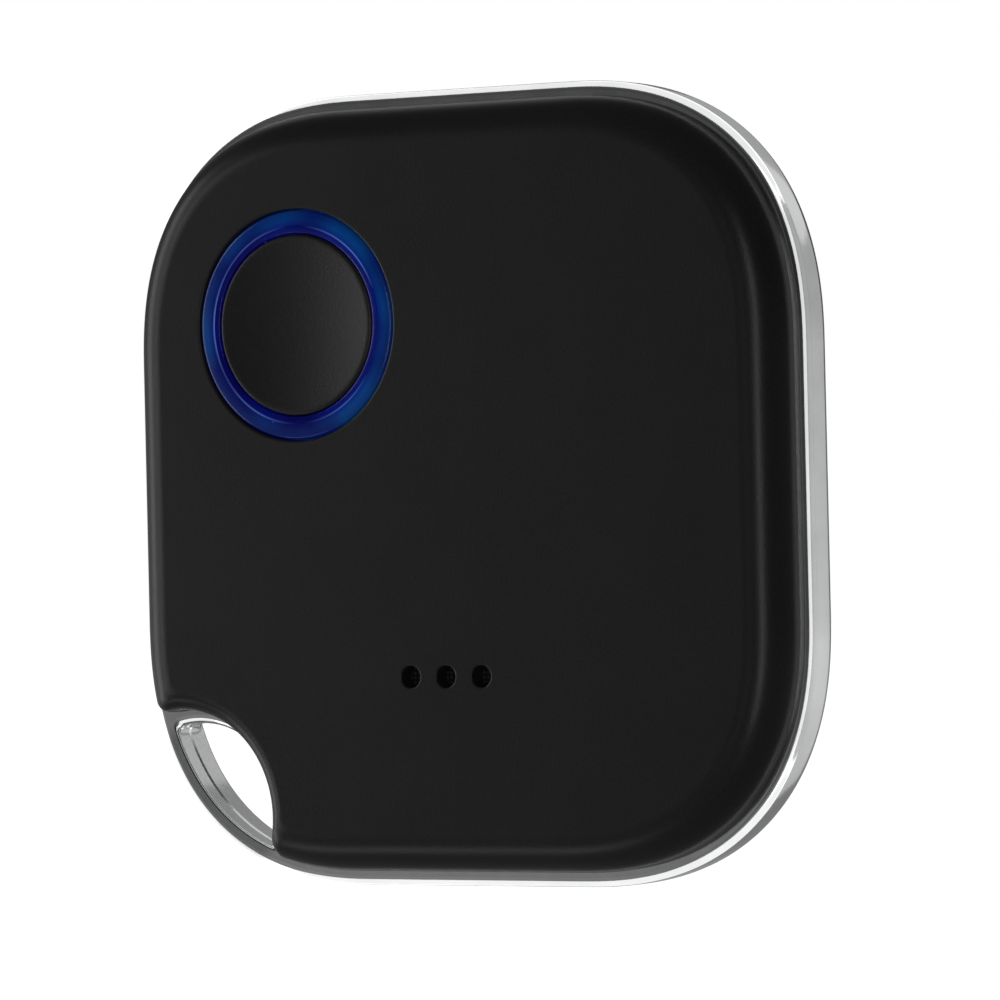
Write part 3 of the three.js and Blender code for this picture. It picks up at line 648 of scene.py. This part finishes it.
class Look:
    """A material with its principled shader, and helpers to add detail nodes to it."""

    def __init__(self, name, roughness=0.5, metallic=0.0, specular=0.5):
        self.material = bpy.data.materials.new(name)
        self.material.use_nodes = True
        self.tree = self.material.node_tree
        self.shader = self.tree.nodes["Principled BSDF"]
        self.shader.inputs["Roughness"].default_value = roughness
        self.shader.inputs["Metallic"].default_value = metallic
        self.shader.inputs["Specular IOR Level"].default_value = specular
        self.coordinates = self.tree.nodes.new("ShaderNodeTexCoord").outputs["Object"]
        self.relief = None

    def node(self, kind, **settings):
        made = self.tree.nodes.new(kind)
        for name, value in settings.items():
            setattr(made, name, value)
        return made

    def link(self, output, socket):
        self.tree.links.new(output, socket)

    def scaled(self, per_mm, stretch=(1, 1, 1)):
        """Coordinates that grow by so much per millimetre."""
        mapping = self.node("ShaderNodeMapping")
        mapping.inputs["Scale"].default_value = [per_mm * s / MM for s in stretch]
        self.link(self.coordinates, mapping.inputs["Vector"])
        return mapping.outputs["Vector"]

    def noise(self, per_mm, detail=2.0, stretch=(1, 1, 1)):
        """Fractal noise with so many features per millimetre, from 0 to 1."""
        texture = self.node("ShaderNodeTexNoise")
        texture.inputs["Scale"].default_value = 1
        texture.inputs["Detail"].default_value = detail
        self.link(self.scaled(per_mm, stretch), texture.inputs["Vector"])
        return texture.outputs["Fac"]

    def cells(self, per_mm):
        """Distance from the middle of cells of that number per millimetre."""
        texture = self.node("ShaderNodeTexVoronoi")
        texture.inputs["Scale"].default_value = 1
        self.link(self.scaled(per_mm), texture.inputs["Vector"])
        return texture.outputs["Distance"]

    def waves(self, axis, per_mm):
        """Ridges and furrows across an axis, with so many of the two together per millimetre."""
        wave = self.node("ShaderNodeTexWave", wave_profile="SIN", bands_direction=axis)
        wave.inputs["Scale"].default_value = per_mm / (MM * 2 * math.pi)
        self.link(self.coordinates, wave.inputs["Vector"])
        return wave.outputs["Fac"]

    def weave(self, threads_per_mm):
        """The height of a plain weave of upright and level threads."""
        heights = [self.waves(axis, threads_per_mm) for axis in ("X", "Z")]
        both = self.node("ShaderNodeMath", operation="MULTIPLY")
        self.link(heights[0], both.inputs[0])
        self.link(heights[1], both.inputs[1])
        return both.outputs["Value"]

    def radius(self, centre, low, high):
        """Distance from an axis along Y through (x, z), as 0 at `low` to 1 at `high` millimetres."""
        offset = self.node("ShaderNodeVectorMath", operation="SUBTRACT")
        offset.inputs[1].default_value = (centre[0] * MM, 0, centre[1] * MM)
        self.link(self.coordinates, offset.inputs[0])
        flat = self.node("ShaderNodeVectorMath", operation="MULTIPLY")
        flat.inputs[1].default_value = (1, 0, 1)
        self.link(offset.outputs["Vector"], flat.inputs[0])
        length = self.node("ShaderNodeVectorMath", operation="LENGTH")
        self.link(flat.outputs["Vector"], length.inputs[0])
        spread = self.node("ShaderNodeMapRange")
        spread.inputs["From Min"].default_value = low * MM
        spread.inputs["From Max"].default_value = high * MM
        self.link(length.outputs["Value"], spread.inputs["Value"])
        return spread.outputs["Result"]

    def ramp(self, driver, stops):
        """A colour that goes through (position, colour) stops as the driver rises."""
        node = self.node("ShaderNodeValToRGB")
        elements = node.color_ramp.elements
        while len(elements) < len(stops):
            elements.new(0.5)
        for element, (position, colour) in zip(elements, stops):
            element.position = position
            element.color = (*colour, 1)
        self.link(driver, node.inputs["Fac"])
        return node.outputs["Color"]

    def mixed(self, factor, first, second):
        mix = self.node("ShaderNodeMix", data_type="RGBA")
        self.link(factor, mix.inputs["Factor"])
        self.link(first, mix.inputs["A"])
        self.link(second, mix.inputs["B"])
        return mix.outputs["Result"]

    def colour(self, driver, low, high, low_colour, high_colour):
        """Base colour that goes from one colour to the other as the driver goes low to high."""
        self.paint(self.ramp(driver, [(low, low_colour), (high, high_colour)]))

    def paint(self, output):
        self.link(output, self.shader.inputs["Base Color"])

    def vary_roughness(self, driver, low, high):
        spread = self.node("ShaderNodeMapRange")
        spread.inputs["To Min"].default_value = low
        spread.inputs["To Max"].default_value = high
        self.link(driver, spread.inputs["Value"])
        self.link(spread.outputs["Result"], self.shader.inputs["Roughness"])

    def bump(self, driver, depth_mm, strength=1.0):
        """Adds relief of that depth on top of what is there already."""
        node = self.node("ShaderNodeBump")
        node.inputs["Strength"].default_value = strength
        node.inputs["Distance"].default_value = depth_mm * MM
        self.link(driver, node.inputs["Height"])
        if self.relief is not None:
            self.link(self.relief, node.inputs["Normal"])
        self.relief = node.outputs["Normal"]
        self.link(self.relief, self.shader.inputs["Normal"])


def grained_black(name, roughness):
    """Spark-eroded black plastic: a fine even grain, slightly polished where hands rub it."""
    look = Look(name, specular=0.22)
    grain = look.noise(8, 3)
    broad = look.noise(0.25, 2)
    look.colour(grain, 0.3, 0.75, (0.010, 0.010, 0.010), (0.016, 0.016, 0.016))
    look.vary_roughness(broad, roughness - 0.03, roughness + 0.03)
    look.bump(grain, 0.012, 0.5)
    return look.material


def plated_metal():
    """Bright plating over a moulded frame: nearly a mirror and faintly uneven, with painted shade darkening
    it in the loop.
    """
    look = Look("bright_plating", metallic=1)
    waviness = look.noise(0.6, 2)
    grain = look.noise(7, 2)
    bright = look.ramp(waviness, [(0.3, (0.78, 0.785, 0.79)), (0.7, (0.84, 0.845, 0.85))])
    # Painted shade: inside the loop the plating takes a darker colour, which stands in for its dim
    # reflection there.
    loop_painted_shade = look.ramp(grain, [(0.3, (0.5, 0.505, 0.51)), (0.7, (0.58, 0.585, 0.59))])
    outside_loop = look.radius(BITE_CENTRE, BITE_RADIUS - 0.5, BITE_RADIUS + 0.2)
    look.paint(look.mixed(outside_loop, loop_painted_shade, bright))
    look.vary_roughness(grain, 0.08, 0.17)
    look.bump(waviness, 0.03, 0.35)
    look.bump(grain, 0.002, 0.4)
    return look.material


def blue_light_guide(centre):
    """Clear blue moulding with a painted glow: painted shade leaves it navy inside its groove, painted
    light makes it bluer outside it and in patches, and it has painted glints and a painted highlight along
    its groove.
    """
    look = Look("blue_light_guide", roughness=0.14, specular=0.3)
    outwards = look.radius(centre, RING_INNER, RING_OUTER)
    # Painted shade and painted light: deep is a navy shaded copy of the blue and lit a bluer lit copy, laid
    # by radius and mixed in patches.
    deep = look.ramp(outwards, [(0.2, (0, 0, 0.05)), (0.34, (0, 0.001, 0.06)), (0.7, (0, 0.006, 0.07))])
    lit = look.ramp(outwards, [(0.2, (0, 0.003, 0.1)), (0.6, (0, 0.03, 0.15)), (1, (0, 0.02, 0.09))])
    lit_patches = look.ramp(look.noise(0.32, 1), [(0.42, (0, 0, 0)), (0.68, (1, 1, 1))])
    # Painted glints: pale specks scattered over the ring.
    glints = look.ramp(look.noise(3.2, 0), [(0.83, (0, 0, 0)), (0.86, (0.5, 0.5, 0.5))])
    # pale is the colour of the painted glints and of the painted highlight along the groove.
    pale = look.ramp(outwards, [(0, (0.1, 0.2, 0.6)), (1, (0.15, 0.3, 0.7))])
    # Painted highlight: a thin pale line along the groove, shown where is_lit is high.
    groove_highlight = look.ramp(outwards, [(0.25, (0, 0, 0)), (0.3, (0.7, 0.7, 0.7)), (0.35, (0, 0, 0))])
    is_lit = look.ramp(look.noise(0.16, 0), [(0.45, (0, 0, 0)), (0.6, (1, 1, 1))])
    blue = look.mixed(glints, look.mixed(lit_patches, deep, lit), pale)
    blue = look.mixed(is_lit, blue, look.mixed(groove_highlight, blue, pale))
    look.paint(blue)
    # Painted glow: the ring gives off its own colour as light, though it is not lit.
    look.link(blue, look.shader.inputs["Emission Color"])
    look.shader.inputs["Emission Strength"].default_value = 0.7
    look.bump(look.noise(1.6, 2), 0.02, 0.3)
    return look.material


def solder_mask():
    """Green lacquer over copper tracks, which show as slightly raised paler lines."""
    look = Look("solder_mask", specular=0.5)
    upright, level = [
        look.ramp(look.waves(axis, 2.6), [(0.72, (0, 0, 0)), (0.8, (1, 1, 1))]) for axis in ("X", "Z")
    ]
    turns = look.ramp(look.noise(0.22, 0), [(0.49, (0, 0, 0)), (0.5, (1, 1, 1))])
    tracks = look.mixed(turns, upright, level)
    lacquer = look.noise(1.5, 3)
    bare = look.ramp(lacquer, [(0.3, (0.004, 0.05, 0.016)), (0.7, (0.008, 0.075, 0.026))])
    over_copper = look.ramp(lacquer, [(0.3, (0.02, 0.13, 0.04)), (0.7, (0.03, 0.16, 0.05))])
    look.paint(look.mixed(tracks, bare, over_copper))
    look.vary_roughness(lacquer, 0.28, 0.42)
    look.bump(tracks, 0.03, 0.6)
    look.bump(lacquer, 0.01, 0.3)
    return look.material


def mottled(name, dark, light, per_mm, roughness, relief_mm, specular=0.4):
    """A moulded, fired or rubber surface: two near shades and a fine relief."""
    look = Look(name, specular=specular)
    grain = look.noise(per_mm, 3)
    look.colour(grain, 0.32, 0.7, dark, light)
    look.vary_roughness(look.noise(per_mm / 6, 2), roughness - 0.06, roughness + 0.06)
    look.bump(grain, relief_mm, 0.5)
    return look.material


def brushed_metal(name, dark, light, roughness, stretch=(1, 1, 12)):
    """Rolled or plated sheet with fine lines along one direction and faint stains."""
    look = Look(name, metallic=1)
    lines = look.noise(3, 3, stretch)
    stains = look.noise(0.4, 3)
    look.colour(stains, 0.3, 0.7, dark, light)
    look.vary_roughness(lines, roughness - 0.07, roughness + 0.09)
    look.bump(lines, 0.004, 0.5)
    return look.material


def cell_steel(centre):
    """Nickel-plated steel with fine rings turned by polishing, and a few finger marks."""
    look = Look("cell_steel", metallic=1)
    outwards = look.radius(centre, 0, 10)
    rings = look.node("ShaderNodeTexNoise", noise_dimensions="1D")
    rings.inputs["Scale"].default_value = 90
    rings.inputs["Detail"].default_value = 4
    look.link(outwards, rings.inputs["W"])
    marks = look.noise(0.35, 3)
    look.colour(marks, 0.3, 0.7, (0.5, 0.5, 0.49), (0.62, 0.62, 0.61))
    look.vary_roughness(marks, 0.2, 0.36)
    look.bump(rings.outputs["Fac"], 0.006, 0.5)
    return look.material


def woven_mesh():
    look = Look("acoustic_cloth", roughness=0.8, specular=0.2)
    threads = look.weave(9)
    look.colour(threads, 0.1, 0.8, (0.004, 0.004, 0.004), (0.03, 0.03, 0.03))
    look.bump(threads, 0.03, 0.8)
    return look.material


def closed_cell_foam():
    look = Look("closed_cell_foam", roughness=0.92, specular=0.15)
    cells = look.cells(4)
    look.colour(cells, 0.1, 0.8, (0.075, 0.075, 0.08), (0.035, 0.035, 0.038))
    look.bump(cells, 0.05, 0.7)
    return look.material


BARE_METAL = [
    "radio_crystal",
    "clock_crystal",
    "positive_contact",
    "negative_contact",
    "piezo_plate",
    *[f"screw_{i}" for i in range(1, 5)],
]


def dress_nodes():
    """Materials of the pieces that keep their CAD shape. Square-cut ones get a fine bevel."""
    moulded = mottled("moulded_epoxy", (0.01, 0.01, 0.011), (0.02, 0.02, 0.021), 14, 0.5, 0.01)
    ceramic = mottled("unglazed_ceramic", (0.62, 0.59, 0.5), (0.72, 0.7, 0.62), 8, 0.55, 0.006)
    nylon = mottled("white_nylon", (0.66, 0.65, 0.6), (0.75, 0.74, 0.7), 5, 0.4, 0.004)
    lens = mottled("led_lens", (0.75, 0.72, 0.5), (0.85, 0.83, 0.66), 6, 0.2, 0.003)
    capacitor = mottled("capacitor_body", (0.26, 0.17, 0.09), (0.38, 0.27, 0.16), 9, 0.45, 0.006)
    gasket = mottled("cell_gasket", (0.02, 0.03, 0.045), (0.035, 0.045, 0.06), 6, 0.45, 0.005)
    red = mottled("red_sleeve", (0.32, 0.012, 0.012), (0.42, 0.02, 0.02), 6, 0.4, 0.006)
    dark = mottled("black_sleeve", (0.008, 0.008, 0.008), (0.016, 0.016, 0.016), 6, 0.4, 0.006)
    can = brushed_metal("crystal_can", (0.6, 0.6, 0.57), (0.72, 0.72, 0.69), 0.3)
    spring = brushed_metal("contact_spring", (0.6, 0.57, 0.48), (0.72, 0.7, 0.62), 0.25, (1, 12, 1))
    brass = brushed_metal("sounder_brass", (0.5, 0.34, 0.11), (0.62, 0.44, 0.16), 0.3)
    steel = brushed_metal("screw_steel", (0.48, 0.48, 0.47), (0.6, 0.6, 0.59), 0.28)
    dress(moulded, "switch_body", "radio_chip", "power_inductor", "resistor_1", "resistor_2", bevel=0.06)
    dress(can, "radio_crystal", "clock_crystal", bevel=0.15)
    dress(ceramic, "chip_antenna", bevel=0.05)
    dress(ceramic, "piezo_ceramic")
    dress(capacitor, *[f"capacitor_{i}" for i in range(1, 5)], bevel=0.08)
    dress(lens, *[f"led_{i}" for i in range(1, 5)], bevel=0.03)
    dress(nylon, "switch_plunger")
    dress(gasket, "battery_gasket")
    dress(red, "piezo_wire_1")
    dress(dark, "piezo_wire_2")
    dress(spring, "positive_contact", "negative_contact")
    dress(brass, "piezo_plate")
    dress(steel, *[f"screw_{i}" for i in range(1, 5)])
    dress(solder_mask(), "circuit_board", bevel=0.04)
    dress(woven_mesh(), "acoustic_mesh")
    dress(closed_cell_foam(), "battery_pad", bevel=0.05)


def dress(material, *names, bevel=0):
    for name in names:
        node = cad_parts[name]
        node.data.materials.clear()
        node.data.materials.append(material)
        if bevel:
            weld = node.modifiers.new("joined corners", "WELD")
            weld.merge_threshold = 0.001 * MM
            rounding = node.modifiers.new("fine bevel", "BEVEL")
            rounding.width = bevel * MM
            rounding.segments = 2
            rounding.limit_method = "ANGLE"


# ---- Stage, light and camera ----


def add_floor():
    """A plain pale floor below the tag, which the tag's plating doesn't mirror."""
    bpy.ops.mesh.primitive_plane_add(size=6, location=(0, 0, -0.06))
    floor = bpy.context.object
    floor.name = "floor"
    look = Look("pale_floor", roughness=0.9, specular=0.1)
    look.colour(look.noise(0.02, 2), 0.3, 0.7, (0.86, 0.86, 0.86), (0.9, 0.9, 0.9))
    look.shader.inputs["Emission Color"].default_value = (1, 1, 1, 1)
    look.shader.inputs["Emission Strength"].default_value = 1
    floor.data.materials.append(look.material)
    floor.visible_glossy = False
    floor.visible_diffuse = False
    floor.visible_shadow = False


def direction(azimuth, elevation):
    """Unit vector towards a place round the tag. Azimuth 0 is in front of it, 90 to its right."""
    a, e = math.radians(azimuth), math.radians(elevation)
    return Vector((math.sin(a) * math.cos(e), -math.cos(a) * math.cos(e), math.sin(e)))


# Brightness of the studio at the tag's own height, by azimuth, and by height, -1 straight down.
ROUND_ABOUT = [
    (-180, 0.15),
    (-150, 0.25),
    (-122, 0.35),
    (-80, 0.35),
    (-52, 0.18),
    (-32, 0.15),
    (-16, 0.05),
    (10, 0.05),
    (40, 0.12),
    (110, 0.2),
    (150, 0.25),
    (180, 0.15),
]
ABOVE_AND_BELOW = [(-1, 0.2), (-0.5, 0.2), (0, 0.15), (0.25, 0.08), (1, 0.12)]
LEVEL_BAND = (0.15, 0.6)

# The level part is dimmer just above the tag's height and brighter just below it, as from a table.
SLOPE_HEIGHT = 0.07
SLOPE_BELOW, SLOPE_ABOVE = 1.5, 0.4

# Soft boxes as (azimuth, elevation, distance, (width, height), brightness), in degrees and metres.
# The first set lights everything but the frame's plating, and the second only bright metal.
KEY_BOXES = [
    (-51, 4, 0.7, (0.16, 0.4), 3.0),
    (-5, 0, 0.8, (0.2, 0.5), 0.5),
    (30, 0, 0.8, (0.06, 0.6), 10),
    (-45, -42, 0.6, (0.3, 0.08), 2.4),
    (222, 38, 0.7, (0.35, 0.25), 0.4),
    (-78, 0, 0.7, (0.25, 0.7), 2.4),
]
METAL_BOXES = [
    (-100, 0, 0.6, (1.0, 1.2), 1.3),
    (42, 0, 0.6, (0.46, 1.2), 0.85),
    (100, 0, 0.6, (0.8, 1.2), 0.36),
    (152, 0, 0.6, (0.36, 1.2), 0.32),
    (180, 42, 0.6, (0.7, 0.5), 0.3),
    (0, 89, 0.6, (1.4, 1.4), 0.9),
    (0, -89, 0.6, (1.4, 1.4), 0.9),
]


def brightness(nodes, links, driver, stops):
    ramp = nodes.new("ShaderNodeValToRGB")
    while len(ramp.color_ramp.elements) < len(stops):
        ramp.color_ramp.elements.new(0.5)
    for element, (position, level) in zip(ramp.color_ramp.elements, stops):
        element.position = position
        element.color = (level, level, level, 1)
    links.new(driver, ramp.inputs["Fac"])
    return ramp.outputs["Color"]


def add_surroundings():
    """A white backdrop, and a grey studio round the tag for its plating to reflect."""
    world = bpy.data.worlds.new("studio")
    bpy.context.scene.world = world
    world.use_nodes = True
    nodes, links = world.node_tree.nodes, world.node_tree.links
    nodes.clear()

    def math_node(operation, first, second=None):
        node = nodes.new("ShaderNodeMath")
        node.operation = operation
        for socket, value in zip(node.inputs, (first, second)):
            if isinstance(value, (int, float)):
                socket.default_value = value
            elif value is not None:
                links.new(value, socket)
        return node.outputs["Value"]

    toward = nodes.new("ShaderNodeSeparateXYZ")
    links.new(nodes.new("ShaderNodeTexCoord").outputs["Generated"], toward.inputs["Vector"])
    x, y, z = (toward.outputs[axis] for axis in "XYZ")
    azimuth = math_node("ARCTAN2", x, math_node("MULTIPLY", y, -1))
    turn = math_node("ADD", math_node("DIVIDE", azimuth, 2 * math.pi), 0.5)
    height = math_node("ADD", math_node("DIVIDE", z, 2), 0.5)
    level_stops = [((degrees + 180) / 360, value) for degrees, value in ROUND_ABOUT]
    height_stops = [((place + 1) / 2, value) for place, value in ABOVE_AND_BELOW]
    tilt = nodes.new("ShaderNodeMapRange")
    tilt.interpolation_type = "SMOOTHSTEP"
    tilt.inputs["From Min"].default_value, tilt.inputs["From Max"].default_value = LEVEL_BAND
    links.new(math_node("ABSOLUTE", z), tilt.inputs["Value"])
    studio = nodes.new("ShaderNodeMix")
    studio.data_type = "RGBA"
    links.new(tilt.outputs["Result"], studio.inputs["Factor"])
    slope = nodes.new("ShaderNodeMapRange")
    slope.inputs["From Min"].default_value = -SLOPE_HEIGHT
    slope.inputs["From Max"].default_value = SLOPE_HEIGHT
    slope.inputs["To Min"].default_value = SLOPE_BELOW
    slope.inputs["To Max"].default_value = SLOPE_ABOVE
    links.new(z, slope.inputs["Value"])
    level = brightness(nodes, links, turn, level_stops)
    links.new(math_node("MULTIPLY", level, slope.outputs["Result"]), studio.inputs["A"])
    links.new(brightness(nodes, links, height, height_stops), studio.inputs["B"])
    reflected = nodes.new("ShaderNodeBackground")
    links.new(studio.outputs["Result"], reflected.inputs["Color"])
    backdrop = nodes.new("ShaderNodeBackground")
    backdrop.inputs["Color"].default_value = (1, 1, 1, 1)
    mix = nodes.new("ShaderNodeMixShader")
    links.new(nodes.new("ShaderNodeLightPath").outputs["Is Camera Ray"], mix.inputs["Fac"])
    links.new(reflected.outputs["Background"], mix.inputs[1])
    links.new(backdrop.outputs["Background"], mix.inputs[2])
    links.new(mix.outputs["Shader"], nodes.new("ShaderNodeOutputWorld").inputs["Surface"])


def receivers(name, pieces, state):
    """A light-linking collection that lets its pieces in, or leaves them out."""
    collection = bpy.data.collections.new(name)
    for piece in pieces:
        collection.objects.link(piece)
    for entry in collection.collection_objects:
        entry.light_linking.link_state = state
    return collection


def add_soft_boxes(name, boxes, collection):
    for i, (azimuth, elevation, distance, size, level) in enumerate(boxes):
        light = bpy.data.lights.new(f"{name}_{i + 1}", "AREA")
        light.shape = "RECTANGLE"
        light.size, light.size_y = size
        light.energy = level * math.pi * light.size * light.size_y
        box = bpy.data.objects.new(light.name, light)
        box.location = direction(azimuth, elevation) * distance
        box.rotation_euler = direction(azimuth, elevation).to_track_quat("Z", "Y").to_euler()
        box.visible_camera = False
        box.light_linking.receiver_collection = collection
        bpy.context.scene.collection.objects.link(box)


def add_camera():
    """A long lens to the right of the tag, level with it and tipped slightly anticlockwise."""
    back = direction(32.34, -0.37)
    roll = math.radians(-1.294)
    level = Vector((0, 0, 1)).cross(back).normalized()
    upright = back.cross(level)
    right = level * math.cos(roll) + upright * math.sin(roll)
    up = upright * math.cos(roll) - level * math.sin(roll)
    middle = Vector((0, FRAME_FRONT_Y * MM, 0))
    position = middle + back * 0.2996
    aim = middle + right * 0.00152 - up * 0.00059
    back = (position - aim).normalized()
    right = up.cross(back).normalized()
    up = back.cross(right)
    camera = bpy.data.objects.new("camera", bpy.data.cameras.new("camera"))
    bpy.context.scene.collection.objects.link(camera)
    rotation = Matrix((right, up, back)).transposed().to_4x4()
    camera.matrix_world = Matrix.Translation(position) @ rotation
    camera.data.lens = 236
    camera.data.sensor_width = 36
    camera.data.clip_start = 0.01
    bpy.context.scene.camera = camera


# ---- Build ----

cover_black = grained_black("cover_plastic", 0.32)
button_black = grained_black("button_plastic", 0.34)
chrome = plated_metal()
steel = cell_steel(centre_of("battery_can")[[0, 2]])
front_cover(cover_black)
rear_cover(cover_black)
plated = metal_frame(chrome)
light_ring(blue_light_guide(centre_of("light_ring")[[0, 2]]))
button_cap(button_black)
bright = [battery_can(steel), battery_lid(steel)]
dress_nodes()
bright += [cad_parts[name] for name in BARE_METAL]
add_floor()
add_surroundings()
add_soft_boxes("key_box", KEY_BOXES, receivers("not_for_plating", plated, "EXCLUDE"))
add_soft_boxes("metal_box", METAL_BOXES, receivers("bright_metal", [*plated, *bright], "INCLUDE"))
add_camera()
bpy.context.scene.view_settings.view_transform = "Standard"
